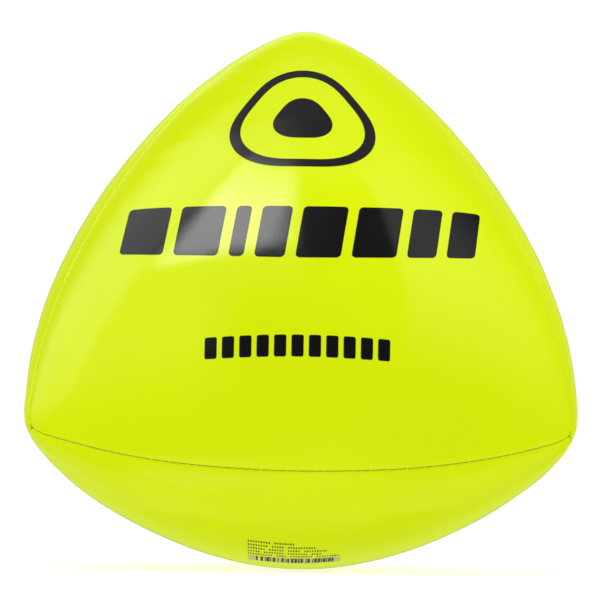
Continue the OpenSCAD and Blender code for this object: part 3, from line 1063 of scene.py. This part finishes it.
def rubber_material(name, colour, roughness):
    """Moulded rubber with a faint bloom and a fine grain."""
    g = material_graph(name)
    where = g.place()
    bloom = g.remap(g.noise(where, 90, 4, 0.6), 0.45, 0.75)
    pale = tuple(channel * 2.2 + 0.01 for channel in colour[:3]) + (1,)
    grain = g.noise(where, 1800, 2)
    return g.surface(base_color=g.mix(bloom, colour, pale),
                     roughness=g.remap(grain, 0.3, 0.7, roughness - 0.08, roughness + 0.08),
                     specular_ior_level=0.4, normal=g.bump(grain, 0.15, 0.00008))


# ---- Scene ----
def own(obj, material, node):
    """Puts a piece on the ball in place of a CAD node."""
    obj.data.materials.append(material)
    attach(obj, BODY)
    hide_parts(node)


def build_covers(material):
    """The four skins. Returns each one's outer sheet for the prints to lie on."""
    skins = {}
    puckers = simulate_puckers()
    for name, turn in PANELS.items():
        (points, faces, groove), outer = cover_mesh(turn, puckers[name], hole=name == "right")
        own(make_object(name + "_cover", points, faces, turn, groove=groove),
            material, name + "_panel")
        skins[name] = Skin(*outer, turn)
    return skins


def build_layers(foam, cloth):
    """The foam and the lining inside each panel."""
    foam_depth = SKIN_T + GLUE
    lining_depth = foam_depth + FOAM_T + GLUE
    for name, turn in PANELS.items():
        for layer, depth, thickness, material, slot in (
                ("foam", foam_depth, FOAM_T, foam, "backing_foam"),
                ("lining", lining_depth, LINING_T, cloth, "lining_cloth")):
            points, faces, _ = layer_mesh(depth, thickness, hole=name == "right")
            own(make_object(f"{name}_{layer}_layer", points, faces, turn),
                material, f"{name}_{layer}")


def build_threads(material):
    for name, turn in SEAMS.items():
        points, faces, _ = thread_mesh(turn)
        own(make_object(name + "_stitching", points, faces, turn), material,
            name + "_seam")


def build_prints(skins, ink, fine_ink, pale_ink):
    for make, node in ((emblem, "emblem_print"), (band, "band_print"), (dash_line, "line_print")):
        own(make(skins["front"]), ink, node)
    own(info(skins["bottom"]), fine_ink, "info_print")
    ground = info_ground(skins["bottom"])
    ground.data.materials.append(pale_ink)
    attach(ground, BODY)


def dress_cad_nodes(materials):
    """Materials for the bladder and the valve, whose CAD shapes are right as they are."""
    for node, material in materials.items():
        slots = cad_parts[node].data.materials
        slots.clear()
        slots.append(material)


CAMERA_BACK = (-0.76, -4.59)   # azimuth and elevation of the camera, seen from the ball
CAMERA_ROLL = 0.957            # in degrees, like those
CAMERA_DISTANCE = 0.9137       # in metres
LENS = 134.04
LENS_SHIFT = (-0.002, 0.0566)


def towards(azimuth, elevation):
    """A direction out of the ball's centre. Azimuth 0 is the front, + the camera's right."""
    a, e = math.radians(azimuth), math.radians(elevation)
    return Vector((math.sin(a) * math.cos(e), -math.cos(a) * math.cos(e), math.sin(e)))


def build_camera():
    back = towards(*CAMERA_BACK)
    data = bpy.data.cameras.new("camera")
    data.lens = LENS
    data.shift_x, data.shift_y = LENS_SHIFT
    data.clip_start, data.clip_end = 0.05, 50
    camera = link(bpy.data.objects.new("camera", data))
    aim = (-back).to_track_quat("-Z", "Y").to_matrix().to_4x4()
    roll = Matrix.Rotation(math.radians(CAMERA_ROLL), 4, "Z")
    camera.matrix_world = Matrix.Translation(back * CAMERA_DISTANCE) @ aim @ roll
    bpy.context.scene.camera = camera


AMBIENT = 0.79        # the even light that the world gives matt surfaces
WHITE = 1.05          # and how bright the camera sees it


def edge(g, value, place, soft):
    """0 below the place and 1 above it, over a soft band."""
    return g.remap(value, place - soft / 2, place + soft / 2)


def softbox(g, azimuth, elevation, light, sides, levels, soft_sides=(8, 8), soft_levels=(8, 12),
            slant=0.0):
    """A soft-edged panel of light on the sky: its sides in degrees of azimuth and its levels in
    degrees of elevation. slant moves its left side to the right with elevation."""
    left = g.math("ADD", sides[0], g.times(elevation, slant))
    edges = (edge(g, g.math("SUBTRACT", azimuth, left), 0.0, soft_sides[0]),
             edge(g, g.times(azimuth, -1.0), -sides[1], soft_sides[1]),
             edge(g, elevation, levels[0], soft_levels[0]),
             edge(g, g.times(elevation, -1.0), -levels[1], soft_levels[1]))
    for share in edges:
        light = g.times(light, share)
    return light


ALL_ROUND = (-200, 200)
# Light, sides, levels, how soft the sides and the levels are, and the slant
SOFTBOXES = {
    "key": (5.6, (-61, -8), (38, 64), (12, 18), (7, 24)),
    "left wall": (1.05, (-116, -66), (2, 66), (36, 8), (50, 12)),
    "left bounce": (0.33, (-70, -24), (-4, 37), (8, 16), (24, 4)),
    "middle bounce": (0.25, (-26, 0), (24, 37), (8, 8), (16, 4)),
    "right wall": (0.66, (27, 88), (13, 66), (6, 70), (40, 18), 0.35),
    "left ceiling": (0.35, (-100, -4), (64, 84), (8, 20), (10, 12)),
    "ceiling": (0.17, ALL_ROUND, (64, 100), (8, 8), (14, 12)),
    "haze": (0.04, ALL_ROUND, (-100, 100)),
    "left floor": (0.3, (-104, -22), (-78, -66), (8, 24), (16, 12)),
    "floor": (0.13, ALL_ROUND, (-100, -62), (8, 8), (8, 20)),
    "low left": (0.16, (-156, -112), (-66, -14), (8, 8), (24, 16)),
    "low right": (0.12, (84, 150), (-72, -36), (8, 8), (16, 20)),
    "back left": (0.3, (-200, -155), (24, 48)),
    "back right": (0.3, (168, 200), (24, 48)),
}
BACKDROP = 0.12


def reflected_studio(g, azimuth, elevation):
    """What the cover's gloss shows. Azimuth 0 is the camera's side, + its right."""
    ahead = g.times(g.math("COSINE", g.math("RADIANS", azimuth)),
                    g.math("COSINE", g.math("RADIANS", elevation)))
    total = g.remap(g.times(ahead, -1.0), 0.5, 0.98, 0.0, BACKDROP)
    for box in SOFTBOXES.values():
        total = g.math("ADD", total, softbox(g, azimuth, elevation, *box))
    return total


def build_world():
    """White to the eye, an even ambient light on matt surfaces, and softboxes in the gloss."""
    world = bpy.data.worlds.new("studio")
    bpy.context.scene.world = world
    world.cycles.sampling_method = "NONE"
    g = Graph(world)
    direction = g.node("ShaderNodeTexCoord").outputs["Generated"]
    split = g.node("ShaderNodeSeparateXYZ", {0: direction}).outputs
    azimuth = g.math("DEGREES", g.math("ARCTAN2", split[0], g.times(split[1], -1.0)))
    elevation = g.math("DEGREES", g.math("ARCSINE", split[2]))
    gloss = reflected_studio(g, azimuth, elevation)
    rays = g.node("ShaderNodeLightPath").outputs
    matt = g.math("MULTIPLY_ADD", rays["Is Camera Ray"], WHITE - AMBIENT, AMBIENT)
    glossy = rays["Is Glossy Ray"]
    strength = g.math("ADD", g.times(glossy, gloss),
                      g.times(g.math("SUBTRACT", 1.0, glossy), matt))
    shader = g.node("ShaderNodeBackground", {"Color": (1, 1, 1, 1), "Strength": strength})
    g.node("ShaderNodeOutputWorld", {"Surface": shader.outputs[0]})


LAMP_DISTANCE = 1.6   # in metres, like the lamps' sizes


def build_lights():
    """Soft lamps for the matt light only: their reflections come from the world's softboxes."""
    for name, azimuth, elevation, size, watts in (
            ("key", -38, 52, 0.9, 4.6), ("fill", 84, 34, 1.0, 4.0), ("top", 0, 88, 1.2, 2.5)):
        data = bpy.data.lights.new(name, "AREA")
        data.size, data.energy = size, watts
        lamp = link(bpy.data.objects.new(name, data))
        lamp.location = towards(azimuth, elevation) * LAMP_DISTANCE
        lamp.rotation_euler = (-lamp.location).to_track_quat("-Z", "Y").to_euler()
        lamp.visible_glossy = False


FLOOR_GLOW = 0.93     # the floor's own light on the ball, and as the camera sees it
PAPER_GLOW = 0.64


def floor_material():
    """White paper on a light table. The camera sees it as lit paper, with the ball's soft shadow.
    To the ball it is an even light from below, and from under the floor it is clear."""
    g = material_graph("pale_floor")
    seen = g.node("ShaderNodeLightPath").outputs["Is Camera Ray"]
    fibre = g.remap(g.noise(g.place(), 6, 3), 0.3, 0.7)
    paper = g.mix(fibre, (0.50, 0.50, 0.50, 1), (0.52, 0.52, 0.52, 1))
    colour = g.mix(seen, (0.09, 0.09, 0.09, 1), paper)
    glow = g.math("MULTIPLY_ADD", seen, PAPER_GLOW - FLOOR_GLOW, FLOOR_GLOW)
    lit = g.node("ShaderNodeBsdfPrincipled", {
        "Base Color": colour, "Roughness": 0.9, "Specular IOR Level": 0.0,
        "Emission Color": (1, 1, 1, 1), "Emission Strength": glow})
    clear = g.node("ShaderNodeBsdfTransparent")
    behind = g.node("ShaderNodeNewGeometry").outputs["Backfacing"]
    both = g.node("ShaderNodeMixShader", {0: behind, 1: lit.outputs[0], 2: clear.outputs[0]})
    g.node("ShaderNodeOutputMaterial", {"Surface": both.outputs[0]})
    return g.owner


def build_floor():
    """A plain pale floor that the ball stands on."""
    size, cells = 6.0, 24
    ruler = np.linspace(-size, size, cells + 1) / MM
    x, y = np.meshgrid(ruler, ruler, indexing="ij")
    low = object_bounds()[0].z / MM
    points = np.stack([x.ravel(), y.ravel(), np.full(x.size, low)], axis=1)
    at = np.arange(x.size).reshape(x.shape)
    a, b, c, d = at[:-1, :-1].ravel(), at[1:, :-1].ravel(), at[1:, 1:].ravel(), at[:-1, 1:].ravel()
    floor = make_object("floor", points, np.stack([a, b, c, d], axis=1))
    floor.data.materials.append(floor_material())
    floor.visible_glossy = False


skins = build_covers(skin_material())
build_layers(foam_material(), cloth_material())
build_threads(thread_material())
build_prints(skins,
             ink_material("black_ink", (0.0045, 0.0045, 0.005, 1), (0.012, 0.013, 0.008, 1)),
             ink_material("fine_ink", (0.07, 0.08, 0.005, 1), (0.13, 0.15, 0.006, 1)),
             ink_material("pale_ink", (0.66, 0.74, 0.12, 1), (0.74, 0.79, 0.24, 1),
                          grain=700, wear=(0.3, 0.7), roughness=0.5))
dress_cad_nodes({
    "bladder": rubber_material("bladder_rubber", (0.02, 0.02, 0.02, 1), 0.65),
    "valve_patch": rubber_material("patch_rubber", (0.02, 0.02, 0.02, 1), 0.6),
    "valve_body": rubber_material("valve_rubber", (0.012, 0.012, 0.012, 1), 0.45),
    "valve_core": rubber_material("valve_core_rubber", (0.09, 0.09, 0.1, 1), 0.4),
})
build_camera()
build_world()
build_lights()
build_floor()
bpy.context.scene.view_settings.view_transform = "Standard"
